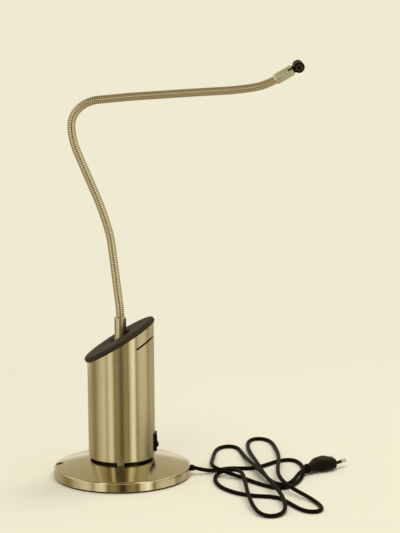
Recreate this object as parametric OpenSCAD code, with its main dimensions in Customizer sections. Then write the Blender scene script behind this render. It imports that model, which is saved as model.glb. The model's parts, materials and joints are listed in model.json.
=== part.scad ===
// Gooseneck desk lamp: weighted round base, slant-topped body tube with the
// transformer inside, and a flexible neck that carries a bi-pin lamp holder.
// +Z is up, the centre of the base's underside is the origin, +X is the back,
// where the body is tallest and the switch and the cord sit.

/* [Base] */
// Diameter of the round base
base_d = 150; // [146:1:170]
// Height of the upright rim of the base
rim_h = 12; // [11:0.5:14]
// Rise of the base's top from its rim to the body tube
dome_rise = 8.5; // [8:0.5:11]
// Wall of the pressed base cover
cover_t = 1.5; // [1:0.1:1.8]
// Thickness of the felt pad under the base
pad_t = 1.8; // [1:0.1:2]

/* [Body] */
// Outside diameter of the body tube
tube_d = 73.2; // [72:0.2:76]
// Wall of the body tube
tube_wall = 1.5; // [1:0.1:2]
// Height of the slanted cut, measured on the tube's axis
body_h = 151; // [146:0.5:160]
// Slope of the cut and of the lid, in degrees
slant = 31; // [28:0.5:33]
// Height of the shadow gap under the tube
tube_gap = 2.9; // [2:0.1:4]
// Thickness of the lid
lid_t = 5; // [3:0.5:6]
// How far the lid stands past the tube
lid_lip = 1.5; // [1:0.1:2.5]

/* [Neck] */
// Diameter of the flexible neck
neck_d = 9; // [8.4:0.2:9.6]
// Wire channel through the neck
neck_bore_d = 4.6; // [3:0.2:5]
// Diameter of the ferrule at the foot of the neck
ferrule_d = 13; // [12:0.5:13.5]
// Diameter of the slotted ferrule at the head
collet_d = 11.6; // [10.4:0.2:12]
// Height of the tilting pivot inside the body
pivot_z = 118; // [116:0.5:120]

/* [Lamp holder] */
// Diameter of the round lamp holder
holder_d = 12.2; // [12:0.2:14]
// Length of the lamp holder
holder_l = 10.4; // [10:0.2:13]
// Distance between the two lamp pins
pin_pitch = 4; // [3.8:0.1:4.2]
// Turn of the holder in its collet, in degrees
holder_turn = 17; // [0:1:90]

/* [Switch] */
// Height of the rocker's pivot above the table
switch_z = 38.5; // [36:0.5:39]
// Angle of the rocker from its middle position
rocker_tip = 10; // [8:0.5:11]

/* [Cord] */
// Diameter of the mains cord
cord_d = 4.4; // [4:0.1:4.5]
// Width of the plug across its two pins
plug_w = 26; // [25:0.5:30]
// Thickness of the plug
plug_t = 13.7; // [13:0.1:14]

/* [Hidden] */
$fn = 64;

fit = 0.25;          // gap between parts that are fixed together
far = 200;           // larger than the lamp's body, for cutting blocks
base_r = base_d / 2;
tube_r = tube_d / 2;
bore_r = tube_r - tube_wall;

// ---- base ----
rim_round = 1.5;
crown_r = 32;        // inside this radius the cover is flat
function dome_z(r) =
    let (k = (base_r - max(r, crown_r)) / (base_r - tube_r))
    rim_h + dome_rise * (1.25 * k - 0.25 * k * k);
crown_z = dome_z(0);
tube_z0 = dome_z(tube_r) + tube_gap;
tie_r = 3;           // M6 tie bolt through the middle
lead_hole = [22, 0];
lead_hole_r = 5.5;
cord_z = 7.8;
cord_r = cord_d / 2;
relief_x = base_r + 4.5;   // where the cord leaves its strain relief
tab_w = 7.5;
tab_angles = [-90, 30, 150];
tab_z0 = 17.4;
vent_x = 14.9;       // where the tube's vent slit starts, along the slope
vent_drop = 12.7;    // from the slanted cut down to the slit's middle
vent_r = 1;          // half the slit's width

// ---- shelves, transformer and lid ----
shelf_z = 50;
shelf_t = 2;
coil_r0 = 9;
coil_r1 = 29;
coil_z0 = shelf_z + shelf_t + 2;
coil_h = 28;
neck_shelf_z = 96;
ear_y = 9;           // inside face of the bracket's ears
ear_t = 2;
block_y = 8;         // half width of the pivot block
lid_slot_w = 14;
lid_slot_l = 26;
lid_slot_x = 2.4;
lid_lug_angles = [60, 180, 300];
lid_lug_r = 29.5;

// ---- neck: each piece is a list of bends [length, turn towards +X] ----
neck_r = neck_d / 2;
neck_foot_z = 152;
neck_start = [0, neck_foot_z, 0];
neck_runs = [
    [[26, 0], [16, -7]],
    [[0, 0.5], [61, 0], [0, 0.5]],
    [[22, -10], [33, -5]],
    [[0, -1.5], [52, 0], [0, -1.5]],
    [[30, 21], [25, 55]],
    [[21, 33], [33, 0]],
    [[0, 1.5], [58, 0], [0, 1.5]],
    [[0, -1], [50, 0], [0, -1.5]],
    [[24, -3.5], [26, -21.5], [6, 0]]
];
ball_r = neck_r - 0.1;
ball_gap = 0.3;      // running gap between a ball end and its cup
cup_rim = 1.8;       // how far a cup's rim stays ahead of the ball's middle
groove = 0.05;       // half the width of the groove between two bends

// x, z and lean from the vertical after one bend
function bend_end(p, bend) =
    let (a0 = p[2], a1 = p[2] + bend[1])
    bend[1] == 0
        ? [p[0] + bend[0] * sin(a0), p[1] + bend[0] * cos(a0), a0]
        : let (r = bend[0] * 180 / PI / bend[1])
          [p[0] + r * (cos(a0) - cos(a1)), p[1] + r * (sin(a1) - sin(a0)), a1];
function run_end(p, run, n) = n == 0 ? p : bend_end(run_end(p, run, n - 1), run[n - 1]);
function piece_start(i) =
    i == 0 ? neck_start : run_end(piece_start(i - 1), neck_runs[i - 1], len(neck_runs[i - 1]));
neck_end = piece_start(len(neck_runs));

// ---- head ----
collet_l = 21.4;
collet_grip = 6;     // how much of the neck's end sits in the collet
slit_l = 5;
slit_w = 1.8;
slit_angles = [-110, 10, 130];
stem_r = 4.1;
flange_r = 4.65;     // turns in the collet's pocket
pocket_r = 4.8;
holder_x = 28.6;     // collet's foot to the holder's axis
holder_r = holder_d / 2;
cap_r = holder_r - 1.55;

// ---- switch ----
switch_x = 34;
rocker_r = 7.7;
rocker_w = 8.6;
window_z = 16.9;
window_y = 10.4;

// ---- cord: it lies on the table and passes over itself in low humps ----
plug_foot = [202, -6, 7];
plug_turn = 47;
plug_l = 40;
plug_pin_gap = 18.6;
plug_pin_r = 2;
plug_pin_l = 19;
sleeve_l = 10;
sleeve_r = 1.8;
lie = cord_r;        // middle of a stretch that lies on the table
cord_route = [
    [relief_x, 0, cord_z], [99, 2, lie], [118, 22, lie], [147, 10, lie],
    [171, 47, lie], [194, 57, lie], [203, 17, lie], [196, -35, lie], [177, -71, lie],
    [154, -55, lie], [126, -12, lie], [95, -12, 12.4],
    [101, 56, lie], [103, 111, lie], [131, 118, lie], [135, 68, lie], [147, 2, 9.4],
    [174, -110, 8.4], [175, -163, lie], [147, -172, lie], [137, -126, 6.2],
    [134, -56, 8.4], [132, -2, 8.4], [99, 0, lie], [103, -62, lie], [140, -98, lie],
    [171, -90, lie], [189, -157, lie], [217, -150, lie], [203, -103, lie], [178, -78, 8.4],
    [168, -28, 8.4], [176, 38, 8.4], [174, 100, lie], [169, 149, lie], [141, 150, lie],
    [141, 92, lie], [151, 8, 9.4], [160, -46, lie], [183, -57, lie], [194, -20, 7.4],
    plug_foot
];

// A smooth curve that is guided by the route's points and starts and ends on them.
cord_guides = concat(
    [2 * cord_route[0] - cord_route[1]], cord_route,
    [2 * plug_foot - cord_route[len(cord_route) - 2]]
);
function cord_at(i, t) =
    let (a = cord_guides[i], b = cord_guides[i + 1], c = cord_guides[i + 2], d = cord_guides[i + 3])
    (pow(1 - t, 3) * a + (3 * t * t * t - 6 * t * t + 4) * b
        + (1 + 3 * t + 3 * t * t - 3 * t * t * t) * c + t * t * t * d) / 6;
cord_line = concat(
    [for (i = [0 : len(cord_route) - 2], t = [0, 0.5]) cord_at(i, t)], [plug_foot]
);

module place(p) translate([p[0], 0, p[1]]) rotate([0, p[2], 0]) children();
module above(z) translate([-far / 2, -far / 2, z]) cube(far);
module below(z) translate([-far / 2, -far / 2, z - far]) cube(far);
module slope() translate([0, 0, body_h]) rotate([0, -slant, 0]) children();
module along_y(y) translate([0, y, 0]) rotate([-90, 0, 0]) children();
module ring(r1, r0, h) difference() {
    cylinder(r = r1, h = h);
    translate([0, 0, -1]) cylinder(r = r0, h = h + 2);
}

// A closed tube of one radius through the points. Its ends face the directions in
// ends, and its rings are carried along without a twist.
function unit(v) = v / norm(v);
function across(v, along) = unit(v - (v * along) * along);
function tube_ring(middle, along, side, r, sides) =
    let (up = cross(along, side))
    [for (k = [0 : sides - 1])
        let (a = 360 * (k + 0.5) / sides) middle + r * (cos(a) * side + sin(a) * up)];

module tube(points, r, ends, sides = 8) {
    n = sides;
    last = len(points) - 1;
    steps = [for (i = [0 : last - 1]) unit(points[i + 1] - points[i])];
    along = concat([ends[0]], [for (i = [1 : last - 1]) unit(steps[i - 1] + steps[i])], [ends[1]]);
    side = [for (i = 0, v = across([0.3, 0.9, 0.4], along[0]); i <= last;
        i = i + 1, v = across(v, along[min(i, last)])) v];
    rings = [for (i = [0 : last]) tube_ring(points[i], along[i], side[i], r, n)];
    walls = [for (i = [0 : last - 1], k = [0 : n - 1])
        [i * n + k, i * n + (k + 1) % n, (i + 1) * n + (k + 1) % n, (i + 1) * n + k]];
    start_cap = [[for (k = [n - 1 : -1 : 0]) k]];
    end_cap = [[for (k = [0 : n - 1]) last * n + k]];
    polyhedron([for (ring = rings) each ring], concat(walls, start_cap, end_cap), convexity = 20);
}

// ---- base pieces ----
module foot_pad() color("#26231f") cylinder(r = base_r - 1.6, h = pad_t);

module base_weight() color("#4a4c4e") difference() {
    union() {
        rotate_extrude() polygon([
            [tie_r + fit, pad_t], [base_r - cover_t - fit, pad_t],
            [base_r - cover_t - fit, rim_h - 2.4],
            [60, rim_h + 0.8], [tube_r, rim_h + 5], [tie_r + fit, rim_h + 5]
        ]);
        translate([0, 0, rim_h]) ring(12, tie_r + fit, crown_z - cover_t - rim_h);
    }
    translate([0, 0, -1]) cylinder(r = 10, h = pad_t + 6);
    translate([lead_hole[0], lead_hole[1], -1]) cylinder(r = lead_hole_r, h = far);
    translate([lead_hole[0], -3, cord_z - 3]) cube([base_r, 6, 12]);
    for (a = tab_angles) rotate([0, 0, a])
        translate([bore_r - 1, -tab_w / 2 - fit, tab_z0 - 0.6]) cube([4, tab_w + 2 * fit, 9]);
    translate([-rim_plug_r, 0, 4]) cylinder(r = plug_hole_r + 1.2, h = far);
    for (y = [-8, 8]) translate([46, y, 5]) cylinder(r = 1.6, h = far);
    translate([40, -12, 12.2]) cube([12, 24, 20]);
}

module base_cover() color("#b3a985") {
    steps = 10;
    shoulder_z = dome_z(base_r - rim_round) - rim_round;
    outer = [for (i = [0 : steps])
        let (r = base_r - rim_round - (base_r - rim_round - crown_r) * i / steps) [r, dome_z(r)]];
    shoulder = [for (a = [0 : 22.5 : 67.5])
        [base_r - rim_round + rim_round * cos(a), shoulder_z + rim_round * sin(a)]];
    inner = [for (i = [steps : -1 : 0])
        let (r = base_r - cover_t - 0.6 - (base_r - cover_t - 0.6 - crown_r) * i / steps)
        [r, dome_z(r) - cover_t]];
    difference() {
        rotate_extrude() polygon(concat(
            [[base_r - cover_t, pad_t], [base_r, pad_t]], shoulder, outer,
            [[tie_r + fit, crown_z], [tie_r + fit, crown_z - cover_t]], inner,
            [[base_r - cover_t, dome_z(base_r - cover_t) - cover_t - 0.6]]
        ));
        translate([lead_hole[0], lead_hole[1], 0]) cylinder(r = lead_hole_r, h = far);
        for (a = tab_angles) rotate([0, 0, a])
            translate([bore_r - fit, -tab_w / 2 - fit, 0])
                cube([tube_wall + 2 * fit, tab_w + 2 * fit, far]);
        translate([-rim_plug_r, 0, 0]) cylinder(r = plug_hole_r, h = far);
        translate([base_r - 6, 0, cord_z]) rotate([0, 90, 0]) cylinder(r = 3, h = 12);
    }
}

// A dark plug that closes a round hole near the rim, opposite the cord.
rim_plug_r = base_r - 6.3;
plug_hole_r = 4;
module rim_plug() color("#1d1a15") translate([-rim_plug_r, 0, 0]) {
    translate([0, 0, dome_z(rim_plug_r) - 5]) cylinder(r = plug_hole_r - 0.05, h = 4.6);
    translate([0, 0, dome_z(rim_plug_r) - 5]) cylinder(r = plug_hole_r + 0.8, h = 1.8);
}

// ---- body ----
module body_tube() color("#a8a07e") difference() {
    translate([0, 0, tab_z0]) ring(tube_r, bore_r, far - 1);
    slope() above(0);
    difference() {
        below(tube_z0);
        for (a = tab_angles) rotate([0, 0, a])
            translate([0, -tab_w / 2, 0]) cube([far, tab_w, far]);
    }
    slope() translate([vent_x, 0, -vent_drop]) {
        translate([0, -far / 2, -vent_r]) cube([far, far, 2 * vent_r]);
        along_y(-far / 2) cylinder(r = vent_r, h = far);
    }
    translate([20, -window_y / 2, switch_z - window_z / 2]) cube([far, window_y, window_z]);
}

module lid() color("#3b3a33") slope() difference() {
    a = tube_r / cos(slant) + lid_lip;
    b = tube_r + lid_lip;
    linear_extrude(lid_t) polygon([for (t = [0 : 3 : 357]) [a * cos(t), b * sin(t)]]);
    lid_slot(lid_slot_l, lid_slot_w);
    lid_lugs() translate([0, 0, -1]) cylinder(r = 1.5, h = lid_t);
}

module lid_slot(l, w) translate([lid_slot_x, 0, -far / 2]) {
    for (s = [-1, 1]) translate([s * (l - w) / 2, 0, 0]) cylinder(r = w / 2, h = far);
    translate([-(l - w) / 2, -w / 2, 0]) cube([l - w, w, far]);
}

module lid_lugs() for (a = lid_lug_angles)
    translate([lid_lug_r * cos(a) / cos(slant), lid_lug_r * sin(a), 0]) children();

module lid_ring() color("#2c2b27") difference() {
    union() {
        difference() {
            translate([0, 0, 110]) ring(bore_r - 0.15, bore_r - 2.4, far / 2);
            slope() below(-8);
        }
        intersection() {
            slope() lid_lugs() translate([0, 0, -5]) cylinder(r = 4, h = 6);
            cylinder(r = bore_r - 0.15, h = far);
        }
    }
    slope() above(0);
    slope() lid_lugs() translate([0, 0, -9]) {
        cylinder(r = 1.6, h = 10);
        cylinder(r = 3.1, h = 4);
    }
}

module lid_screws() color("#8d8d88") slope() lid_lugs() {
    translate([0, 0, -7]) cylinder(r = 2.7, h = 2);
    translate([0, 0, -5]) cylinder(r = 1.45, h = 7.6);
}

// ---- tie bolt and transformer ----
module tie_bolt() color("#9a9b98") {
    translate([0, 0, 2.6]) cylinder(r = 5.5, h = 4.2, $fn = 6);
    translate([0, 0, 6.6]) cylinder(r = tie_r, h = 88);
}

module tie_nut() color("#8f908c") {
    translate([0, 0, coil_z0 + coil_h + 3.5]) difference() {
        union() {
            cylinder(r = 6.4, h = 1.4);
            translate([0, 0, 1.4]) cylinder(r = 5.5, h = 4.6, $fn = 6);
        }
        translate([0, 0, -1]) cylinder(r = tie_r + 0.02, h = 9);
    }
}

module spacer_tube() color("#8b8c88") translate([0, 0, crown_z]) ring(6, tie_r + fit, shelf_z - crown_z);

module transformer_shelf() color("#7d7f7c") difference() {
    translate([0, 0, shelf_z]) cylinder(r = bore_r - 0.05, h = shelf_t);
    translate([0, 0, shelf_z - 1]) {
        cylinder(r = tie_r + fit, h = 9);
        for (y = [-31.6, 31.6]) translate([0, y, 0]) cylinder(r = 2.4, h = 9);
        for (a = [30 : 60 : 330]) rotate([0, 0, a]) translate([31.8, 0, 0]) cylinder(r = 2, h = 9);
    }
}

module transformer_core() color("#5d6064") translate([0, 0, coil_z0 + 4]) ring(24, 14, coil_h - 8);

module transformer_winding() color("#c9a24b") difference() {
    translate([0, 0, coil_z0]) rotate_extrude() difference() {
        round_box(coil_r0, coil_r1, coil_h, 4.5);
        translate([14, 4]) square([10, coil_h - 8]);
    }
}

module round_box(x0, x1, h, r) {
    translate([x0 + r, 0]) square([x1 - x0 - 2 * r, h]);
    translate([x0, r]) square([x1 - x0, h - 2 * r]);
    for (x = [x0 + r, x1 - r], y = [r, h - r]) translate([x, y]) circle(r = r);
}

module transformer_pads() color("#22211f") for (z = [coil_z0 - 2, coil_z0 + coil_h])
    translate([0, 0, z]) ring(27, 5, 2);

module clamp_dish() color("#94958f") translate([0, 0, coil_z0 + coil_h + 2]) ring(26, tie_r + fit, 1.5);

// ---- tilting pivot ----
module neck_shelf() color("#7d7f7c") translate([0, 0, neck_shelf_z]) difference() {
    cylinder(r = bore_r - 0.05, h = 2);
    translate([0, 0, -1]) {
        for (y = [-31.6, 31.6]) translate([0, y, 0]) cylinder(r = 2.4, h = 9);
        for (y = [-4.5, 4.5]) translate([0, y, 0]) cylinder(r = 2.05, h = 9);
        for (a = [30 : 60 : 330]) rotate([0, 0, a]) translate([28, 0, 0]) cylinder(r = 3, h = 9);
    }
}

module neck_bracket() color("#9fa19d") difference() {
    union() {
        translate([-9, -ear_y - ear_t, neck_shelf_z + 2]) cube([18, 2 * (ear_y + ear_t), 2]);
        for (y = [-ear_y - ear_t, ear_y]) translate([0, y, 0]) {
            translate([-9, 0, neck_shelf_z + 2]) cube([18, ear_t, pivot_z - neck_shelf_z - 2]);
            translate([0, 0, pivot_z]) along_y(0) cylinder(r = 9, h = ear_t);
        }
    }
    translate([0, 0, pivot_z]) along_y(-20) cylinder(r = 3.1, h = 40);
    for (y = [-4.5, 4.5]) translate([0, y, neck_shelf_z]) cylinder(r = 2.05, h = 9);
}

module bracket_rivets() color("#a9aaa6") for (y = [-4.5, 4.5]) translate([0, y, neck_shelf_z]) {
    translate([0, 0, -1.2]) cylinder(r = 3.4, h = 1.2);
    cylinder(r = 2, h = 4);
    translate([0, 0, 4]) cylinder(r = 3.2, h = 1.3);
}

module pivot_bolt() color("#8f908c") translate([0, 0, pivot_z]) {
    along_y(-ear_y - ear_t - 4) cylinder(r = 5.5, h = 4, $fn = 6);
    along_y(-ear_y - ear_t) cylinder(r = 2.95, h = 30);
}

module pivot_spring() color("#6f7072") translate([0, 0, pivot_z])
    along_y(ear_y + ear_t) ring(6.2, 3.1, 1.6);

module pivot_nut() color("#8f908c") translate([0, 0, pivot_z])
    along_y(ear_y + ear_t + 1.6) difference() {
        union() {
            cylinder(r = 5.6, h = 3.6, $fn = 6);
            translate([0, 0, 3.6]) cylinder(r = 4.4, h = 1.6);
        }
        translate([0, 0, -1]) cylinder(r = 2.97, h = 8);
    }

module friction_washers() color("#7a3b22") translate([0, 0, pivot_z])
    for (y = [-ear_y + 0.05, block_y + 0.05]) along_y(y) ring(7.6, 3.1, ear_y - block_y - 0.1);

module pivot_block() color("#8a8c8a") difference() {
    translate([-8, -block_y, pivot_z - 12]) cube([16, 2 * block_y, 24]);
    translate([0, 0, pivot_z]) along_y(-20) cylinder(r = 3.02, h = 40);
    translate([0, 0, pivot_z + 4.4]) cylinder(r = 5, h = 20);
    translate([-20, -2.4, pivot_z + 4.4]) cube([20, 4.8, 4.2]);
}

module neck_nipple() color("#a58d4c") translate([0, 0, pivot_z + 8.8]) ring(4.95, 2.8, 24);

module lower_ferrule() color("#b0a783") difference() {
    union() {
        translate([0, 0, pivot_z + 12]) cylinder(d = ferrule_d, h = 176.7 - pivot_z - 12);
        translate([0, 0, 176.7]) cylinder(d1 = ferrule_d, d2 = ferrule_d - 2.6, h = 1.3);
    }
    cylinder(r = 5, h = neck_foot_z - 1);
    cylinder(r = 3, h = far);
    translate([0, 0, neck_foot_z]) cylinder(r = neck_r + 0.05, h = 40);
}

// ---- switch and mains side ----
module switch_frame() translate([switch_x, 0, switch_z]) children();

module switch_housing() color("#1b1a18") difference() {
    union() {
        switch_frame() {
            translate([-13, -5.1, -8.4]) cube([15.6, 10.2, 16.8]);
            translate([0, -6.8, -9.95]) cube([4.5, 13.6, 19.9]);
        }
    }
    difference() {
        cylinder(r = tube_r + 0.05, h = far / 2);
        translate([0, -5.1, switch_z - 8.4]) cube([far, 10.2, 16.8]);
    }
    switch_frame() {
        translate([-9.5, -4.5, -8]) cube([20, 9, 16]);
        along_y(-6) cylinder(r = 1.25, h = 12);
        for (z = [-4, 4]) translate([-20, -2.5, z - 0.5]) cube([12, 5, 1]);
    }
}

module switch_terminals() color("#c9ccd0") switch_frame()
    for (z = [-4, 4]) translate([-21, -2.4, z - 0.4]) cube([12.6, 4.8, 0.8]);

module rocker() color("#141312") switch_frame() rotate([0, -rocker_tip, 0]) {
    difference() {
        along_y(-rocker_w / 2) intersection() {
            cylinder(r = rocker_r, h = rocker_w);
            translate([1, -10, -1]) cube([10, 20, 20]);
        }
        rotate([90, 0, 0]) translate([0, 0, -10])
            linear_extrude(20) polygon([[6, 4.9], [4.9, 0], [6, -4.9], [12, -4.9], [12, 4.9]]);
    }
    along_y(-rocker_w / 2) cylinder(r = 2.6, h = rocker_w);
    along_y(-5) cylinder(r = 1.2, h = 10);
}

module terminal_block() color("#d9d4c4") difference() {
    translate([-28, -12, neck_shelf_z + 2]) cube([12, 24, 10]);
    for (y = [-6, 6]) {
        translate([-22, y, neck_shelf_z + 6]) cylinder(r = 2, h = 9);
        translate([-22, y, block_hole_z]) rotate([0, 90, 0]) cylinder(r = 1.6, h = 20, center = true);
    }
}

module terminal_screws() color("#b8a25a") for (y = [-6, 6]) translate([-22, y, neck_shelf_z + 7.2])
    difference() {
        cylinder(r = 1.9, h = 4);
        translate([-3, -0.4, 3]) cube([6, 0.8, 2]);
    }

// Two brown and blue wires from the cord: one by way of the switch, both to the
// transformer's winding.
lead_r = 0.8;
winding_side = coil_r1 + 0.02;
notch_y = 31.6;
terminal_x = switch_x - 19;
module lead(points) {
    last = len(points) - 1;
    ends = [unit(points[1] - points[0]), unit(points[last] - points[last - 1])];
    tube(points, lead_r, ends);
}

module mains_leads() {
    color("#6b3a20") lead([
        [27.5, -1.3, cord_z], [22, -1.6, 11], [19, -1.6, 26], [terminal_x, -1, 30],
        [terminal_x, -1, switch_z - 4.4]
    ]);
    color("#2b4a86") lead([
        [27.5, 1.3, cord_z], [22, 1.6, 11], [17, 3, 26], [4, 20, 42], [0, notch_y, 47],
        [0, notch_y, 66], [0, winding_side, 66]
    ]);
    color("#6b3a20") lead([
        [terminal_x, -1, switch_z + 4.4], [terminal_x, -1, 45.5], [8, -14, 46.5],
        [0, -notch_y, 47.4], [0, -notch_y, 66], [0, -winding_side, 66]
    ]);
}

// The winding's output to the terminal block, and from there into the neck.
block_hole_z = neck_shelf_z + 5.2;
module low_voltage_leads() color("#a02a22") {
    lead([
        [1.2, winding_side, 74], [1.2, notch_y, 75.5], [1.2, notch_y, 101], [-12, 25, 104],
        [-14, 6, block_hole_z], [-20, 6, block_hole_z]
    ]);
    lead([
        [-1.2, winding_side, 78], [-1.2, notch_y, 79.5], [-1.2, notch_y, 103], [-16, 26, 112],
        [-13.4, -6, 104], [-13.4, -6, block_hole_z], [-20, -6, block_hole_z]
    ]);
    for (y = [-6, 6]) lead([
        [-24, y, block_hole_z], [-29.6, y, block_hole_z], [-30.6, y * 0.6, 108],
        [-24, y * 0.4, 121], [-10, y * 0.18, pivot_z + 6.6], [-3, y * 0.18, pivot_z + 6.6]
    ]);
}

module strain_relief() color("#161514") translate([base_r, 0, cord_z]) rotate([0, 90, 0]) difference() {
    union() {
        translate([0, 0, 0.05]) cylinder(r1 = 3.6, r2 = 3.2, h = relief_x - base_r - 0.05);
        translate([0, 0, -2.4]) cylinder(r = 2.95, h = 3);
        translate([0, 0, -cover_t - 16]) cylinder(r1 = 2.5, r2 = 2.95, h = 15.9);
    }
    translate([0, 0, -40]) cylinder(r = cord_r + 0.08, h = 60);
}

module cord_tail() color("#191817") translate([28, 0, cord_z]) rotate([0, 90, 0])
    cylinder(r = cord_r, h = relief_x - 28);

module cord_clamp() color("#d6d2c6") difference() {
    translate([41, -11, 12.3]) cube([10, 22, 2.4]);
    for (y = [-8, 8]) translate([46, y, 5]) cylinder(r = 1.7, h = far);
}

module clamp_screws() color("#8d8d88") for (y = [-8, 8]) translate([46, y, 0]) {
    translate([0, 0, 14.7]) cylinder(r = 2.6, h = 1.2);
    translate([0, 0, 6]) cylinder(r = 1.5, h = 8.8);
}

// ---- flexible neck ----
module bend_pipe(bend) {
    l = bend[0];
    a = abs(bend[1]);
    r = l * 180 / PI / max(a, 1);
    trim = groove / l * a;
    if (a == 0) translate([0, 0, groove]) ring(neck_r, neck_bore_d / 2, l - 2 * groove);
    else rotate([0, 0, bend[1] > 0 ? 180 : 0]) translate([-r, 0, 0]) rotate([90, 0, 0])
        rotate([0, 0, trim]) rotate_extrude(angle = a - 2 * trim) translate([r, 0]) difference() {
            circle(r = neck_r);
            circle(r = neck_bore_d / 2);
        }
}

module neck_piece(i) color("#9d9470") {
    run = neck_runs[i];
    start = piece_start(i);
    difference() {
        for (k = [0 : len(run) - 1]) if (run[k][0] > 0) place(run_end(start, run, k)) bend_pipe(run[k]);
        if (i > 0) place(start) {
            translate([0, 0, -1]) cylinder(r = neck_r + 2, h = 1 + cup_rim);
            sphere(r = ball_r + ball_gap);
        }
    }
    for (k = [1 : len(run) - 1]) if (run[k - 1][0] > 0 && run[k][0] > 0)
        place(run_end(start, run, k)) translate([0, 0, -0.6])
            ring(neck_r - 0.1, neck_bore_d / 2 + 0.1, 1.2);
    if (i < len(neck_runs) - 1) place(piece_start(i + 1)) difference() {
        sphere(r = ball_r);
        translate([-10, -10, -22]) cube(20);
        translate([0, 0, -10]) cylinder(r = neck_bore_d / 2 - 0.4, h = 20);
    }
}

module head_frame() place(neck_end) translate([0, 0, -collet_grip]) children();

module collet() color("#b0a783") head_frame() difference() {
    union() {
        cylinder(d1 = collet_d - 1.6, d2 = collet_d, h = 2.2);
        translate([0, 0, 2.2]) cylinder(d = collet_d, h = collet_l - 2.2);
    }
    translate([0, 0, -1]) cylinder(r = neck_r + 0.05, h = collet_grip + 1);
    cylinder(r = 3, h = 30);
    translate([0, 0, 8]) cylinder(r = pocket_r, h = 3.2);
    translate([0, 0, 8.5]) cylinder(r = stem_r + 0.06, h = 30);
    for (a = slit_angles) rotate([0, 0, a]) translate([0, -slit_w / 2, collet_l - slit_l])
        cube([10, slit_w, 10]);
}

module holder_frame() head_frame() translate([0, 0, holder_x]) rotate([0, 0, holder_turn]) children();
module pin_spots() for (x = [-1, 1]) translate([x * pin_pitch / 2, 0, 0]) children();

module lamp_holder() color("#171614") difference() {
    union() {
        holder_frame() rotate([90, 0, 0]) translate([0, 0, -holder_l / 2]) rotate_extrude() polygon([
            [0, 0], [holder_r - 1, 0], [holder_r, 1], [holder_r, holder_l - 1], [holder_r - 1, holder_l],
            [3.4, holder_l], [3.4, holder_l - 0.5], [0, holder_l - 0.5]
        ]);
        head_frame() {
            translate([0, 0, 8.3]) cylinder(r = flange_r, h = 2.6);
            translate([0, 0, 8.3]) cylinder(r = stem_r, h = holder_x - 12);
        }
    }
    holder_frame() rotate([90, 0, 0]) {
        pin_spots() cylinder(r = 0.95, h = far);
        translate([0, 0, -holder_l / 2 - 1]) cylinder(r = cap_r + 0.05, h = 3);
    }
    head_frame() cylinder(r = 1.6, h = holder_x - 1);
}

module holder_contacts() color("#c8b56a") holder_frame() rotate([90, 0, 0]) pin_spots()
    translate([0, 0, 0.2]) ring(0.9, 0.42, holder_l / 2 - 1.4);

module holder_cap() color("#24211d") holder_frame() rotate([-90, 0, 0])
    translate([0, 0, holder_l / 2 - 1.9]) cylinder(r = cap_r, h = 1.7);

// ---- cord and plug ----
module power_cord() color("#15140f")
    tube(cord_line, cord_r, [[1, 0, 0], [cos(plug_turn), sin(plug_turn), 0]]);

module plug_frame() translate(plug_foot) rotate([0, 0, plug_turn]) children();
module plug_pin_spots() for (y = [-1, 1])
    translate([0, y * plug_pin_gap / 2, 0]) rotate([0, 90, 0]) children();

module plug_body() color("#171512") plug_frame() {
    w = plug_w / 2;
    t = plug_t / 2;
    translate([0, 0, 0]) rotate([0, 90, 0]) cylinder(r1 = 3, r2 = 3.6, h = 2.2);
    translate([2, 0, 0]) rotate([0, 90, 0]) cylinder(r = 5.4, h = 2);
    difference() {
        intersection() {
            translate([0, 0, -10]) linear_extrude(20) polygon([
                [3.5, -4.2], [9, -5.2], [16, -8.2], [23, -11.6], [28, w * -0.98], [32, -w], [plug_l, -w],
                [plug_l, w], [32, w], [28, w * 0.98], [23, 11.6], [16, 8.2], [9, 5.2], [3.5, 4.2]
            ]);
            rotate([90, 0, 0]) translate([0, 0, -20]) linear_extrude(40) polygon([
                [3.5, -4], [10, -5.2], [20, t * -0.96], [26, -t], [plug_l - 1.5, -t], [plug_l, 1.5 - t],
                [plug_l, t - 1.5], [plug_l - 1.5, t], [26, t], [20, t * 0.96], [10, 5.2], [3.5, 4]
            ]);
            rotate([90, 0, 90]) linear_extrude(60) polygon([
                [-w, -2.4], [4.5 - w, -t], [w - 4.5, -t], [w, -2.4],
                [w, 2.4], [w - 4.5, t], [4.5 - w, t], [-w, 2.4]
            ]);
        }
        translate([plug_l - 8, 0, 0]) plug_pin_spots() cylinder(r = sleeve_r + 0.05, h = 9);
    }
}

module plug_pins() color("#c9c6bb") plug_frame() translate([plug_l, 0, 0]) plug_pin_spots() {
    translate([0, 0, -7.5]) cylinder(r = 1.4, h = 8 + sleeve_l);
    translate([0, 0, sleeve_l]) cylinder(r = plug_pin_r, h = plug_pin_l - sleeve_l - 1);
    translate([0, 0, plug_pin_l - 1]) cylinder(r1 = plug_pin_r, r2 = 1.1, h = 1);
}

module pin_sleeves() color("#1c1b19") plug_frame() translate([plug_l, 0, 0]) plug_pin_spots()
    translate([0, 0, -7.5]) ring(sleeve_r, 1.45, 7.5 + sleeve_l);

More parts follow.
